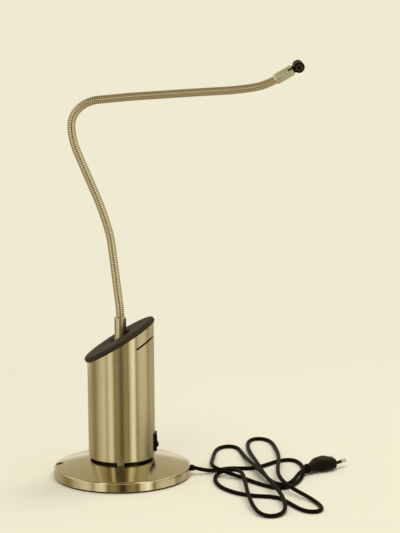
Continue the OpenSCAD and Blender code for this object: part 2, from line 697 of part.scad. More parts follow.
foot_pad();
base_weight();
base_cover();
rim_plug();
body_tube();
lid();
lid_ring();
lid_screws();
tie_bolt();
tie_nut();
spacer_tube();
transformer_shelf();
transformer_core();
transformer_winding();
transformer_pads();
clamp_dish();
neck_shelf();
neck_bracket();
bracket_rivets();
pivot_bolt();
pivot_nut();
pivot_spring();
friction_washers();
terminal_block();
terminal_screws();
mains_leads();
low_voltage_leads();
switch_housing();
switch_terminals();
rocker();
strain_relief();
cord_tail();
cord_clamp();
clamp_screws();
pivot_block();
neck_nipple();
lower_ferrule();
neck_piece(0);  // neck_1
neck_piece(1);  // neck_2
neck_piece(2);  // neck_3
neck_piece(3);  // neck_4
neck_piece(4);  // neck_5
neck_piece(5);  // neck_6
neck_piece(6);  // neck_7
neck_piece(7);  // neck_8
neck_piece(8);  // neck_9
collet();
lamp_holder();
holder_contacts();
holder_cap();
power_cord();
plug_body();
plug_pins();
pin_sleeves();
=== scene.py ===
"""Looks of a gooseneck desk lamp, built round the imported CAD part.

Sizes are in millimetres. Camera, lights and finished meshes are in metres, and MM takes one to the other.
"""
import json
import math

import bmesh
import bpy
from mathutils import Matrix, Vector


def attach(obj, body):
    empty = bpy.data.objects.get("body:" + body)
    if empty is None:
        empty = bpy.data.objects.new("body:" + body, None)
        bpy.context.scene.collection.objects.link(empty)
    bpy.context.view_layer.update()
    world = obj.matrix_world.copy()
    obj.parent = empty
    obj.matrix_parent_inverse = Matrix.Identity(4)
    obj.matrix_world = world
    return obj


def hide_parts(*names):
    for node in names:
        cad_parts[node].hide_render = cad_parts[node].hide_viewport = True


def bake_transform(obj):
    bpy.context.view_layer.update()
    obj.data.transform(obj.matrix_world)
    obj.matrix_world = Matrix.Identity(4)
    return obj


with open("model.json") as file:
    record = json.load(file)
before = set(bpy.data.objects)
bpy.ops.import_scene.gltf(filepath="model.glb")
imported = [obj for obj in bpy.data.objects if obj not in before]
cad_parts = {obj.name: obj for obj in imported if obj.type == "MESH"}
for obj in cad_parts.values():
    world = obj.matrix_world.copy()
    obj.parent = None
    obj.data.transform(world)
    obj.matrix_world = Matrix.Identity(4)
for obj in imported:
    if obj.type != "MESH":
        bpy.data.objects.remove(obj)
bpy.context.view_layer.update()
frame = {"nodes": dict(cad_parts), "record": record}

MM = 0.001
scene = bpy.context.scene


def rad(degrees):
    return math.radians(degrees)


def smooth(x):
    """Eases from 0 to 1."""
    x = max(0.0, min(1.0, x))
    return x * x * (3 - 2 * x)


def shift(x=0, y=0, z=0):
    """A move by millimetres."""
    return Matrix.Translation((x * MM, y * MM, z * MM))


def turned(degrees, axis):
    return Matrix.Rotation(rad(degrees), 4, axis)


def cad_corners(node):
    """The low and the high corner of a CAD node, in millimetres to a hundredth."""
    box = frame["nodes"][node].bound_box
    return [[round(v / MM, 2) for v in box[corner]] for corner in (0, 6)]


# ---- camera ----
PITCH, ROLL = rad(9.0), rad(0.4)
CAMERA_PLACE = (0.08735, -1.9287, 0.5382)
FOCAL_PX, FRAME_PX, SENSOR_MM = 1800, 533, 36
forward = Vector((0, math.cos(PITCH), -math.sin(PITCH)))
level_up = Vector((0, math.sin(PITCH), math.cos(PITCH)))
level_right = Vector((1, 0, 0))
right = level_right * math.cos(ROLL) - level_up * math.sin(ROLL)
up = level_right * math.sin(ROLL) + level_up * math.cos(ROLL)
camera = bpy.data.objects.new("camera", bpy.data.cameras.new("camera"))
camera.matrix_world = Matrix.Translation(CAMERA_PLACE) @ Matrix((right, up, -forward)).transposed().to_4x4()
camera.data.sensor_width = SENSOR_MM
camera.data.lens = FOCAL_PX / FRAME_PX * SENSOR_MM
camera.data.clip_start, camera.data.clip_end = 0.05, 100
scene.collection.objects.link(camera)
scene.camera = camera


# ---- mesh helpers ----
def add_mesh(name, points, faces, material=None, shade_angle=None):
    """A smooth-shaded mesh through points in metres, with outward normals.

    Edges sharper than shade_angle, in degrees, stay sharp.
    """
    mesh = bpy.data.meshes.new(name)
    mesh.from_pydata([tuple(p) for p in points], [], faces)
    mesh.validate()
    obj = bpy.data.objects.new(name, mesh)
    scene.collection.objects.link(obj)
    recalc(obj)
    mesh.polygons.foreach_set("use_smooth", [True] * len(mesh.polygons))
    if shade_angle:
        mesh.set_sharp_from_angle(angle=rad(shade_angle))
    if material:
        mesh.materials.append(material)
    return obj


def recalc(obj):
    bm = bmesh.new()
    bm.from_mesh(obj.data)
    bmesh.ops.recalc_face_normals(bm, faces=bm.faces)
    bm.to_mesh(obj.data)
    bm.free()


def loops_mesh(name, loops, closed=False, caps=True, **options):
    """A skin through loops of the same number of points. closed joins the last loop to the first."""
    n = len(loops[0])
    points = [p for loop in loops for p in loop]
    faces = []
    rows = len(loops) if closed else len(loops) - 1
    for i in range(rows):
        a, b = i * n, (i + 1) % len(loops) * n
        faces += [(a + k, a + (k + 1) % n, b + (k + 1) % n, b + k) for k in range(n)]
    if caps and not closed:
        faces += [tuple(range(n - 1, -1, -1)), tuple(range((len(loops) - 1) * n, len(loops) * n))]
    return add_mesh(name, points, faces, **options)


def lathe(name, profile, steps, place=None, closed=True, **options):
    """Revolves (radius, height) points about Z. A closed profile comes back to its first point."""
    place = place or Matrix()
    turns = [2 * math.pi * k / steps for k in range(steps)]
    loops = [[place @ Vector((r * MM * math.cos(t), r * MM * math.sin(t), z * MM)) for t in turns]
             for r, z in profile]
    return loops_mesh(name, loops, closed=closed, **options)


def rounded(profile, radius, steps=4):
    """Rounds the corners of a closed (radius, height) profile, by less where an edge is short."""
    out, n = [], len(profile)
    for i, corner in enumerate(profile):
        p = Vector(corner)
        a, b = Vector(profile[i - 1]) - p, Vector(profile[(i + 1) % n]) - p
        reach = min(radius, a.length * 0.48, b.length * 0.48)
        start, end = p + a.normalized() * reach, p + b.normalized() * reach
        for k in range(steps + 1):
            t = k / steps
            out.append(tuple((1 - t) ** 2 * start + 2 * t * (1 - t) * p + t * t * end))
    return out


CUT_SHADE_ANGLE = 35


def cut(obj, *cutters):
    """Takes the cutters out of obj and deletes them."""
    for cutter in cutters:
        modifier = obj.modifiers.new("cut", "BOOLEAN")
        modifier.operation, modifier.solver, modifier.object = "DIFFERENCE", "EXACT", cutter
    bpy.context.view_layer.update()
    made = bpy.data.meshes.new_from_object(obj.evaluated_get(bpy.context.evaluated_depsgraph_get()))
    obj.modifiers.clear()
    obj.data = made
    made.polygons.foreach_set("use_smooth", [True] * len(made.polygons))
    made.set_sharp_from_angle(angle=rad(CUT_SHADE_ANGLE))
    for cutter in cutters:
        bpy.data.objects.remove(cutter)


def box_cutter(low, high, place=None):
    place = place or Matrix()
    points = [place @ Vector((x * MM, y * MM, z * MM))
              for x in (low[0], high[0]) for y in (low[1], high[1]) for z in (low[2], high[2])]
    faces = [(0, 1, 3, 2), (4, 6, 7, 5), (0, 4, 5, 1), (2, 3, 7, 6), (0, 2, 6, 4), (1, 5, 7, 3)]
    return add_mesh("cutter", points, faces)


def rod_cutter(radius, low, high, place):
    return lathe("cutter", [(radius, low), (radius, high)], 48, place, closed=False)


def prism_cutter(outline, low, high, place):
    """A cutter with an (x, z) outline, from low to high along Y."""
    n = len(outline)
    points = [place @ (Vector((x, y, z)) * MM) for y in (low, high) for x, z in outline]
    faces = [tuple(range(n - 1, -1, -1)), tuple(range(n, 2 * n))]
    faces += [(k, (k + 1) % n, n + (k + 1) % n, n + k) for k in range(n)]
    return add_mesh("cutter", points, faces)


def sweep(name, centres, radius, sides, **options):
    """A tube along the centres, in metres. Each loop carries on from the last one, so it doesn't twist."""
    turns = [2 * math.pi * k / sides for k in range(sides)]
    loops, last, side = [], len(centres) - 1, Vector((0.3, 0.9, 0.4))
    for i, centre in enumerate(centres):
        along = (centres[min(i + 1, last)] - centres[max(i - 1, 0)]).normalized()
        side = (side - along * side.dot(along)).normalized()
        other = along.cross(side)
        loops.append([centre + (side * math.cos(t) + other * math.sin(t)) * radius for t in turns])
    return loops_mesh(name, loops, **options)


# ---- materials: procedural, from two close colours, a roughness range and a fine relief ----
def linear(channel):
    """An sRGB channel from 0 to 255, as linear light from 0 to 1."""
    return channel / 255 / 12.92 if channel <= 10 else ((channel / 255 + 0.055) / 1.055) ** 2.4


def srgb(r, g, b):
    return linear(r), linear(g), linear(b), 1


BROAD_SHARE = 0.35


def material(name, dark, light, rough, relief, grain=(1, 1, 1), scale=900, metallic=0.0, radial=False,
             anisotropic=0.0, tangent=None, turn=0.0, coat=0.0, specular=0.5, gloss_tint=None, mottle=40):
    """A fine pattern mixed with a broad one runs from dark to light, and through the rough range.

    relief is the fine pattern's height in metres. A grain below 1 draws it out along that axis, and radial
    lays it in rings about Z.
    """
    made = bpy.data.materials.new(name)
    made.use_nodes = True
    tree = made.node_tree
    nodes, links = tree.nodes, tree.links
    shader = nodes["Principled BSDF"]
    shader.inputs["Metallic"].default_value = metallic
    shader.inputs["Anisotropic"].default_value = anisotropic
    shader.inputs["Anisotropic Rotation"].default_value = turn
    shader.inputs["Coat Weight"].default_value = coat
    shader.inputs["Coat Roughness"].default_value = 0.15
    shader.inputs["Specular IOR Level"].default_value = specular
    if gloss_tint:
        shader.inputs["Specular Tint"].default_value = gloss_tint
    where = nodes.new("ShaderNodeTexCoord").outputs["Object"]
    vector = where
    if radial:
        split = nodes.new("ShaderNodeSeparateXYZ")
        links.new(where, split.inputs[0])
        squares = []
        for axis in "XY":
            times = nodes.new("ShaderNodeMath")
            times.operation = "MULTIPLY"
            links.new(split.outputs[axis], times.inputs[0])
            links.new(split.outputs[axis], times.inputs[1])
            squares.append(times.outputs[0])
        total = nodes.new("ShaderNodeMath")
        total.operation = "ADD"
        links.new(squares[0], total.inputs[0])
        links.new(squares[1], total.inputs[1])
        radius = nodes.new("ShaderNodeMath")
        radius.operation = "SQRT"
        links.new(total.outputs[0], radius.inputs[0])
        join = nodes.new("ShaderNodeCombineXYZ")
        links.new(radius.outputs[0], join.inputs["X"])
        links.new(split.outputs["Z"], join.inputs["Z"])
        vector = join.outputs[0]
    stretch = nodes.new("ShaderNodeVectorMath")
    stretch.operation = "MULTIPLY"
    stretch.inputs[1].default_value = grain
    links.new(vector, stretch.inputs[0])
    fine = nodes.new("ShaderNodeTexNoise")
    fine.inputs["Scale"].default_value = scale
    fine.inputs["Detail"].default_value = 4
    links.new(stretch.outputs[0], fine.inputs["Vector"])
    broad = nodes.new("ShaderNodeTexNoise")
    broad.inputs["Scale"].default_value = mottle
    broad.inputs["Detail"].default_value = 5
    links.new(where, broad.inputs["Vector"])
    both = nodes.new("ShaderNodeMix")
    both.inputs["Factor"].default_value = BROAD_SHARE
    links.new(fine.outputs["Fac"], both.inputs["A"])
    links.new(broad.outputs["Fac"], both.inputs["B"])
    ramp = nodes.new("ShaderNodeValToRGB")
    ramp.color_ramp.elements[0].position, ramp.color_ramp.elements[0].color = 0.32, dark
    ramp.color_ramp.elements[1].position, ramp.color_ramp.elements[1].color = 0.68, light
    links.new(both.outputs["Result"], ramp.inputs["Fac"])
    links.new(ramp.outputs["Color"], shader.inputs["Base Color"])
    spread = nodes.new("ShaderNodeMapRange")
    spread.inputs["From Min"].default_value, spread.inputs["From Max"].default_value = 0.3, 0.7
    spread.inputs["To Min"].default_value, spread.inputs["To Max"].default_value = rough
    links.new(both.outputs["Result"], spread.inputs["Value"])
    links.new(spread.outputs["Result"], shader.inputs["Roughness"])
    bump = nodes.new("ShaderNodeBump")
    bump.inputs["Strength"].default_value = 0.5
    bump.inputs["Distance"].default_value = relief
    links.new(fine.outputs["Fac"], bump.inputs["Height"])
    links.new(bump.outputs["Normal"], shader.inputs["Normal"])
    if tangent:
        axis = nodes.new("ShaderNodeTangent")
        axis.direction_type, axis.axis = "RADIAL", tangent
        links.new(axis.outputs["Tangent"], shader.inputs["Tangent"])
    return made


NICKEL = (0.56, 0.495, 0.31, 1), (0.62, 0.55, 0.355, 1)
BRUSHED = {"scale": 1400, "metallic": 1.0, "anisotropic": 0.9, "tangent": "Z", "turn": 0.25, "mottle": 25}
WARM_GLOSS = (1.0, 0.84, 0.5, 1)
tube_metal = material("satin_nickel_turned", *NICKEL, (0.23, 0.26), 6e-8, (0.05, 0.05, 3), **BRUSHED)
base_metal = material("satin_nickel_rings", *NICKEL, (0.12, 0.15), 1e-7, (3, 0.05, 1), radial=True, **BRUSHED)
small_metal = material("satin_nickel", *NICKEL, (0.24, 0.34), 2e-6, scale=1800, metallic=1.0, mottle=60)
collet_metal = material("collet_nickel", (0.69, 0.64, 0.46, 1), (0.76, 0.71, 0.53, 1), (0.40, 0.48), 3e-7,
                        scale=1800, metallic=1.0, mottle=60)
neck_metal = material("nickel_winding", (0.60, 0.53, 0.35, 1), (0.77, 0.69, 0.48, 1), (0.09, 0.15), 1e-6,
                      scale=1500, metallic=1.0, mottle=90)
pin_metal = material("pin_nickel", (0.62, 0.60, 0.54, 1), (0.72, 0.70, 0.63, 1), (0.16, 0.28), 3e-6,
                     grain=(1, 1, 0.1), scale=1500, metallic=1.0)
brass = material("brass", (0.62, 0.48, 0.20, 1), (0.72, 0.58, 0.28, 1), (0.24, 0.36), 4e-6,
                 scale=1500, metallic=1.0)
# Brass painted nearly black for the holder's contacts: painted shade inside the pin holes.
dark_brass = material("dark_brass", (0.10, 0.075, 0.035, 1), (0.15, 0.11, 0.055, 1), (0.4, 0.5), 4e-6,
                      scale=1500, metallic=1.0)
zinc = material("zinc_steel", (0.47, 0.47, 0.46, 1), (0.60, 0.60, 0.58, 1), (0.28, 0.42), 4e-6,
                scale=1500, metallic=1.0)
core_steel = material("core_steel", (0.20, 0.21, 0.23, 1), (0.30, 0.31, 0.33, 1), (0.4, 0.55), 1e-5,
                      grain=(0.1, 0.1, 3), scale=1500, metallic=1.0)
bare_iron = material("cast_iron", srgb(58, 57, 56), srgb(84, 83, 80), (0.55, 0.7), 8e-5,
                     scale=1100, metallic=0.8)
lid_paint = material("lid_grey", srgb(47, 38, 26), srgb(60, 50, 35), (0.55, 0.68), 2.5e-5,
                     scale=2600, specular=0.12, mottle=30)
felt = material("felt", srgb(20, 16, 7), srgb(34, 28, 12), (0.94, 1.0), 1.2e-4,
                scale=2200, specular=0.05, gloss_tint=WARM_GLOSS, mottle=300)
black_plastic = material("black_plastic", srgb(13, 9, 3), srgb(22, 16, 6), (0.42, 0.55), 1.2e-5,
                         scale=3000, specular=0.12, gloss_tint=WARM_GLOSS)
black_gloss = material("black_gloss", srgb(11, 7, 3), srgb(17, 12, 6), (0.25, 0.34), 4e-6,
                       scale=1800, specular=0.2, gloss_tint=WARM_GLOSS)
black_rubber = material("black_rubber", srgb(10, 6, 2), srgb(18, 13, 5), (0.5, 0.64), 1.5e-5,
                        scale=3200, specular=0.1, gloss_tint=WARM_GLOSS)
# A pale grey for the holder's front ring: a painted highlight on the ring.
ring_highlight_grey = material("ring_highlight_grey", srgb(96, 90, 76), srgb(120, 113, 96), (0.45, 0.6), 8e-6,
                      scale=3000, specular=0.2)
ivory = material("ivory_plastic", srgb(205, 198, 178), srgb(222, 216, 199), (0.35, 0.45), 1e-5)
wire_brown = material("wire_brown", srgb(84, 46, 25), srgb(104, 58, 34), (0.35, 0.5), 1e-5)
wire_red = material("wire_red", srgb(146, 38, 30), srgb(172, 50, 40), (0.35, 0.5), 1e-5)
fibre = material("fibre", srgb(104, 50, 30), srgb(134, 68, 42), (0.7, 0.85), 3e-5)
winding = material("winding", srgb(176, 138, 50), srgb(214, 176, 88), (0.3, 0.42), 6e-5,
                   grain=(0.08, 0.08, 2), scale=1400, coat=0.4)


def paint_groove_shade(made, colour):
    """Paints shade into the grooves between the windings: a darker colour where the mesh's crest value is low.
    """
    nodes, links = made.node_tree.nodes, made.node_tree.links
    shader = nodes["Principled BSDF"]
    crest = nodes.new("ShaderNodeAttribute")
    crest.attribute_name = "crest"
    spread = nodes.new("ShaderNodeMapRange")
    spread.interpolation_type = "SMOOTHSTEP"
    spread.inputs["From Min"].default_value, spread.inputs["From Max"].default_value = 0.15, 0.95
    links.new(crest.outputs["Fac"], spread.inputs["Value"])
    mix = nodes.new("ShaderNodeMix")
    mix.data_type = "RGBA"
    mix.inputs["A"].default_value = colour
    links.new(shader.inputs["Base Color"].links[0].from_socket, mix.inputs["B"])
    links.new(spread.outputs["Result"], mix.inputs["Factor"])
    links.new(mix.outputs["Result"], shader.inputs["Base Color"])


# Painted shade in the neck's grooves, in this dark colour.
paint_groove_shade(neck_metal, (0.32, 0.26, 0.15, 1))

# ---- the CAD nodes that stay: a finish for each slot, and rounded edges on the switch ----
CAD_FINISH = {
    "brushed_nickel": small_metal, "neck_nickel": neck_metal, "lid_grey": lid_paint, "cast_iron": bare_iron,
    "felt": felt, "black_plastic": black_plastic, "black_gloss": black_gloss, "black_rubber": black_rubber,
    "ivory_plastic": ivory, "wire_plastic": wire_brown, "fibre": fibre, "zinc_steel": zinc,
    "core_steel": core_steel, "winding": winding, "brass": brass, "pin_nickel": pin_metal,
}
slot_of = {entry["node"]: entry["material_slot"] for entry in frame["record"]["subparts"]}
for node_name, obj in frame["nodes"].items():
    obj.data.materials.clear()
    obj.data.materials.append(CAD_FINISH[slot_of[node_name]])
frame["nodes"]["low_voltage_leads"].data.materials[0] = wire_red
# The contacts deep in the pin holes get painted shade.
frame["nodes"]["holder_contacts"].data.materials[0] = dark_brass
for node_name in ("switch_housing", "rocker"):
    edge = frame["nodes"][node_name].modifiers.new("edge", "BEVEL")
    edge.width, edge.segments, edge.limit_method, edge.angle_limit = 0.3 * MM, 3, "ANGLE", rad(40)


def dress(piece, body, slot, *nodes):
    """Puts the piece on its body, in place of the nodes named. The slot is not used."""
    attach(piece, body)
    if nodes:
        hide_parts(*nodes)


# ---- mains cord: a B-spline along the CAD part's route ----
CORD_ROUTE = [
    (79.5, 0, 7.8), (99, 2, 2.2), (118, 22, 2.2), (147, 10, 2.2), (171, 47, 2.2), (194, 57, 2.2),
    (203, 17, 2.2), (196, -35, 2.2), (177, -71, 2.2), (154, -55, 2.2), (126, -12, 2.2), (95, -12, 12.4),
    (101, 56, 2.2), (103, 111, 2.2), (131, 118, 2.2), (135, 68, 2.2), (147, 2, 9.4), (174, -110, 8.4),
    (175, -163, 2.2), (147, -172, 2.2), (137, -126, 6.2), (134, -56, 8.4), (132, -2, 8.4), (99, 0, 2.2),
    (103, -62, 2.2), (140, -98, 2.2), (171, -90, 2.2), (189, -157, 2.2), (217, -150, 2.2), (203, -103, 2.2),
    (178, -78, 8.4), (168, -28, 8.4), (176, 38, 8.4), (174, 100, 2.2), (169, 149, 2.2), (141, 150, 2.2),
    (141, 92, 2.2), (151, 8, 9.4), (160, -46, 2.2), (183, -57, 2.2), (194, -20, 7.4), (202, -6, 7),
]
CORD_R, SPLINE_STEPS = 2.2, 10
route = [Vector(p) * MM for p in CORD_ROUTE]
guides = [2 * route[0] - route[1]] + route + [2 * route[-1] - route[-2]]
cord_line = []
for i in range(len(route) - 1):
    a, b, c, d = guides[i:i + 4]
    for step in range(SPLINE_STEPS):
        t = step / SPLINE_STEPS
        cord_line.append(((1 - t) ** 3 * a + (3 * t ** 3 - 6 * t * t + 4) * b
                          + (1 + 3 * t + 3 * t * t - 3 * t ** 3) * c + t ** 3 * d) / 6)
cord_line.append(route[-1])
cord = sweep("mains_cord", cord_line, CORD_R * MM, 16, material=black_rubber)
dress(cord, "stand", "black_rubber", "power_cord")

# ---- plug with its pins and sleeves, and the cord's grommet in the base ----
PLUG_PLACE = shift(*CORD_ROUTE[-1]) @ turned(47, "Z")
PLUG_SECTIONS = [  # along, half width, half thickness, squareness
    (0, 2.5, 2.5, 2), (0.15, 2.95, 2.95, 2), (1.9, 3.3, 3.3, 2), (2.1, 4.6, 4.6, 2), (2.3, 5.3, 5.3, 2),
    (3.6, 5.4, 5.4, 2), (3.9, 5.1, 5.1, 2.1), (4.1, 4.3, 4.1, 2.2), (5.2, 4.35, 4.15, 2.3),
    (9, 5.0, 4.9, 2.5), (12.5, 6.3, 5.3, 2.6), (16, 8.1, 5.8, 2.7), (20, 10.1, 6.3, 2.8), (24, 11.8, 6.6, 3.0),
    (28, 12.65, 6.8, 3.2), (32, 12.95, 6.83, 3.3), (36, 12.98, 6.83, 3.3), (38.4, 12.95, 6.8, 3.3),
    (39.3, 12.75, 6.6, 3.3), (39.8, 12.3, 6.2, 3.3), (40, 11.6, 5.6, 3.3),
]
GRIP_FIRST, GRIP_STEP, GRIP_COUNT, GRIP_DEPTH = 13.0, 2.6, 5, 0.5
PLUG_L, PIN_Y = 40, 9.3
PIN_OUTLINE = [
    (1.4, -7.5), (1.4, 9.9), (1.5, 10.0), (1.9, 10.0), (2.0, 10.1), (2.0, 17.7), (1.94, 18.15), (1.75, 18.55),
    (1.4, 18.85), (0.9, 18.98), (0.02, 19.0),
]
SLEEVE_OUTLINE = [(1.42, -7.5), (1.8, -7.5), (1.8, 10), (1.42, 10)]


def plug_loop(along, wide, thick, power, steps=72):
    """A rounded section across the plug. A higher power is squarer."""
    loop = []
    for k in range(steps):
        angle = 2 * math.pi * k / steps
        c, s = math.cos(angle), math.sin(angle)
        y = wide * math.copysign(abs(c) ** (2 / power), c)
        z = thick * math.copysign(abs(s) ** (2 / power), s)
        loop.append(PLUG_PLACE @ (Vector((along, y, z)) * MM))
    return loop


def plug_at(along):
    """The plug's section at a distance along it."""
    for low, high in zip(PLUG_SECTIONS, PLUG_SECTIONS[1:]):
        if low[0] <= along <= high[0]:
            t = (along - low[0]) / (high[0] - low[0])
            return tuple(a + (b - a) * t for a, b in zip(low, high))
    return PLUG_SECTIONS[-1]


def plug_loops():
    """The sections, with grip grooves across the widening part."""
    grooves = [GRIP_FIRST + GRIP_STEP * k for k in range(GRIP_COUNT)]
    stations = {s[0] for s in PLUG_SECTIONS}
    for g in grooves:
        stations.update(g + d for d in (-0.62, -0.45, 0, 0.45, 0.62))
    loops = []
    for along in sorted(stations):
        _, wide, thick, power = plug_at(along)
        near = min(abs(along - g) for g in grooves)
        depth = GRIP_DEPTH * (1 - smooth(near / 0.6))
        loops.append(plug_loop(along, wide - depth * 0.9, thick - depth * 0.5, power))
    return loops


plug = loops_mesh("plug_grip", plug_loops(), material=black_plastic, shade_angle=40)
pin_places = [PLUG_PLACE @ shift(PLUG_L, y) @ turned(90, "Y") for y in (-PIN_Y, PIN_Y)]
cut(plug, *[rod_cutter(1.85, -8, 1, place) for place in pin_places])
dress(plug, "stand", "black_plastic", "plug_body")
plug_parts = [plug]
for label, place in zip("ab", pin_places):
    pin = lathe("plug_pin_" + label, PIN_OUTLINE, 40, place, closed=False, material=pin_metal, shade_angle=50)
    dress(pin, "stand", "pin_nickel", "plug_pins")
    sleeve = lathe("pin_sleeve_" + label, rounded(SLEEVE_OUTLINE, 0.12), 40, place, material=black_plastic)
    dress(sleeve, "stand", "black_plastic", "pin_sleeves")
    plug_parts += [pin, sleeve]

grommet = lathe("cord_grommet", rounded([
    (2.28, -17.5), (2.5, -17.5), (2.95, -1.6), (2.95, 0.05), (3.5, 0.1), (3.6, 0.3), (3.55, 1.6), (3.15, 1.9),
    (3.15, 2.5), (3.4, 2.7), (3.25, 4.5), (2.28, 4.5)], 0.1), 48, shift(75, 0, 7.8) @ turned(90, "Y"),
    material=black_rubber)
dress(grommet, "stand", "black_rubber", "strain_relief")

# ---- gooseneck: one wound skin in eight lengths, each running across one hinge ----
NECK_RUNS = [  # for each rigid piece, its runs as (length, turn in degrees)
    [(26, 0), (16, -7)], [(0, 0.5), (61, 0), (0, 0.5)], [(22, -10), (33, -5)],
    [(0, -1.5), (52, 0), (0, -1.5)], [(30, 21), (25, 55)], [(21, 33), (33, 0)],
    [(0, 1.5), (58, 0), (0, 1.5)], [(0, -1), (50, 0), (0, -1.5)], [(24, -3.5), (26, -21.5), (6, 0)],
]
NECK_R, WIND_PITCH, WIND_DEPTH = 4.5, 2.4, 0.26
WIND_SHAPE = (0.0, 0.42, 0.72, 0.93, 1.0, 0.93, 0.72, 0.42)
NECK_SIDES = 24
NECK_FOOT_Z, NECK_START, BLEND_REACH = 152.0, 20.0, 17
bends, joints_at, middles, at = [], [], [], 0.0
for piece in NECK_RUNS:
    joints_at.append(at)
    middles.append(at + sum(length for length, _ in piece) / 2)
    for length, turn in piece:
        bends.append((length, turn))
        at += length
neck_length = at


def neck_at(distance):
    """The neck's x and z in millimetres and its lean in degrees, at a distance along it."""
    x, z, lean = 0.0, NECK_FOOT_Z, 0.0
    for length, turn in bends:
        step = min(max(distance, 0), length) if length else 0
        part = turn * step / length if length else (turn if distance > 0 else 0)
        if length and turn:
            r = length / rad(turn)
            x += r * (math.cos(rad(lean)) - math.cos(rad(lean + part)))
            z += r * (math.sin(rad(lean + part)) - math.sin(rad(lean)))
        else:
            x += step * math.sin(rad(lean))
            z += step * math.cos(rad(lean))
        lean += part
        distance -= length
        if distance <= 0 and length:
            break
    return x, z, lean


def softened(distance, reach=5.0):
    """The same, with the lean eased over the small corners between the runs."""
    spots = [neck_at(min(max(distance + reach * k, 0), neck_length)) for k in (-1, -0.5, 0, 0.5, 1)]
    share = (0.1, 0.2, 0.4, 0.2, 0.1)
    x, z, _ = spots[2]
    return x, z, sum(s[2] * w for s, w in zip(spots, share))


WIND_STEP = WIND_PITCH / len(WIND_SHAPE)
WIND_ROWS = int((neck_length - NECK_START) / WIND_STEP)


def wind_point(i, k):
    """The point of row i and side k. A row climbs one pitch in a turn, so the rows make a helix."""
    distance = min(NECK_START + i * WIND_STEP + WIND_PITCH * k / NECK_SIDES, neck_length)
    x, z, lean = softened(distance)
    r = NECK_R - WIND_DEPTH * (1 - WIND_SHAPE[i % len(WIND_SHAPE)])
    angle = 2 * math.pi * k / NECK_SIDES
    outward, lean = math.cos(angle) * r, rad(lean)
    return Vector((x + outward * math.cos(lean), math.sin(angle) * r, z - outward * math.sin(lean))) * MM


def wound_skin(name, first, last):
    """The skin from row first to row last, with each point's share of the winding's height as crest."""
    points, faces, index = [], [], {}

    def vertex(i, k):
        if k == NECK_SIDES:
            i, k = i + len(WIND_SHAPE), 0
        if (i, k) not in index:
            index[i, k] = len(points)
            points.append(wind_point(i, k))
        return index[i, k]

    for i in range(first, last):
        for k in range(NECK_SIDES):
            faces.append((vertex(i, k), vertex(i, k + 1), vertex(i + 1, k + 1), vertex(i + 1, k)))
    skin = add_mesh(name, points, faces, material=neck_metal)
    crest = skin.data.attributes.new("crest", "FLOAT", "POINT")
    crest.data.foreach_set("value", [WIND_SHAPE[i % len(WIND_SHAPE)] for i, _ in index])
    return skin


def row_at(distance):
    return int(round((distance - NECK_START) / WIND_STEP))


for n in range(1, 9):
    first = 0 if n == 1 else row_at(middles[n - 1])
    last = WIND_ROWS if n == 8 else row_at(middles[n])
    skin = wound_skin("gooseneck_%d" % n, first, last)
    ends = [neck_at(joints_at[n] + d) for d in (-BLEND_REACH, BLEND_REACH)]
    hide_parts("neck_%d" % n)
    if n == 8:
        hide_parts("neck_9")
    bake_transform(skin)

# ---- base: the pressed dish, and the plug in its rim ----
(_, _, PAD_T), (BASE_R, _, _) = cad_corners("base_cover")
TUBE_R, FLAT_R = cad_corners("body_tube")[1][1], 32
RIM_HOLE_X, RIM_HOLE_R, WIRE_HOLE_X, WIRE_HOLE_R = -68.7, 4, 22, 5.5
RIM_H, DOME_RISE, SHOULDER, SHEET = 12, 8.5, 2.4, 1.5


def dome(r):
    """The height of the base's top at a radius. It is flat within FLAT_R."""
    k = (BASE_R - max(r, FLAT_R)) / (BASE_R - TUBE_R)
    return RIM_H + DOME_RISE * (1.25 * k - 0.25 * k * k)


# The dish's section, from the rim's foot over the shoulder and the top to the bolt hole and back underneath.
crown = BASE_R - SHOULDER
outside = [crown - (crown - FLAT_R) * k / 48 for k in range(49)]
inside = [FLAT_R + 4 * k for k in range(1, 11)]
shell = [(BASE_R - SHEET, PAD_T), (BASE_R - 0.25, PAD_T), (BASE_R, PAD_T + 0.25)]
shell += [(BASE_R, z) for z in (4, 6.5, 9)]
shell += [(crown + SHOULDER * math.cos(rad(a)), dome(crown) - SHOULDER + SHOULDER * math.sin(rad(a)))
          for a in range(0, 76, 15)]
shell += [(r, dome(r)) for r in outside]
shell += [(20, dome(0)), (3.25, dome(0)), (3.25, dome(0) - SHEET), (FLAT_R, dome(0) - SHEET)]
shell += [(r, dome(r) - SHEET) for r in inside] + [(BASE_R - SHEET, 9.5)]
base = lathe("base_shell", shell, 256, material=base_metal, shade_angle=40)
cut(base, rod_cutter(RIM_HOLE_R, 6, 30, shift(RIM_HOLE_X)),
    rod_cutter(WIRE_HOLE_R, 10, 30, shift(WIRE_HOLE_X)))
dress(base, "stand", "brushed_nickel", "base_cover")

stopper = lathe("rim_stopper", [(r, dome(-RIM_HOLE_X) - drop) for r, drop in (
    (0.02, 0.9), (2.2, 0.85), (2.9, 0.45), (3.5, 0.3), (3.85, 0.45), (3.95, 0.8), (3.95, 3.2), (4.7, 3.3),
    (4.7, 4.9), (0.02, 4.9))], 48, shift(RIM_HOLE_X), closed=False, material=black_plastic, shade_angle=45)
dress(stopper, "stand", "black_plastic", "rim_plug")

# ---- body tube: a slanted cut, a vent slit, a switch window and three feet ----
SLANT, BODY_H, BODY_GAP, WALL = rad(31), 151.0, 2.9, 1.5
SLIT_X, SLIT_DROP, SLIT_HALF = 14.9, 12.7, 1
SWITCH_HALF, SWITCH_LOW, SWITCH_TOP = 5.2, 30.05, 46.95
FOOT_W, FOOT_LOW, FOOT_TOP = 7.5, 17.4, 24.5
SLOPE = shift(0, 0, BODY_H) @ Matrix.Rotation(-SLANT, 4, "Y")


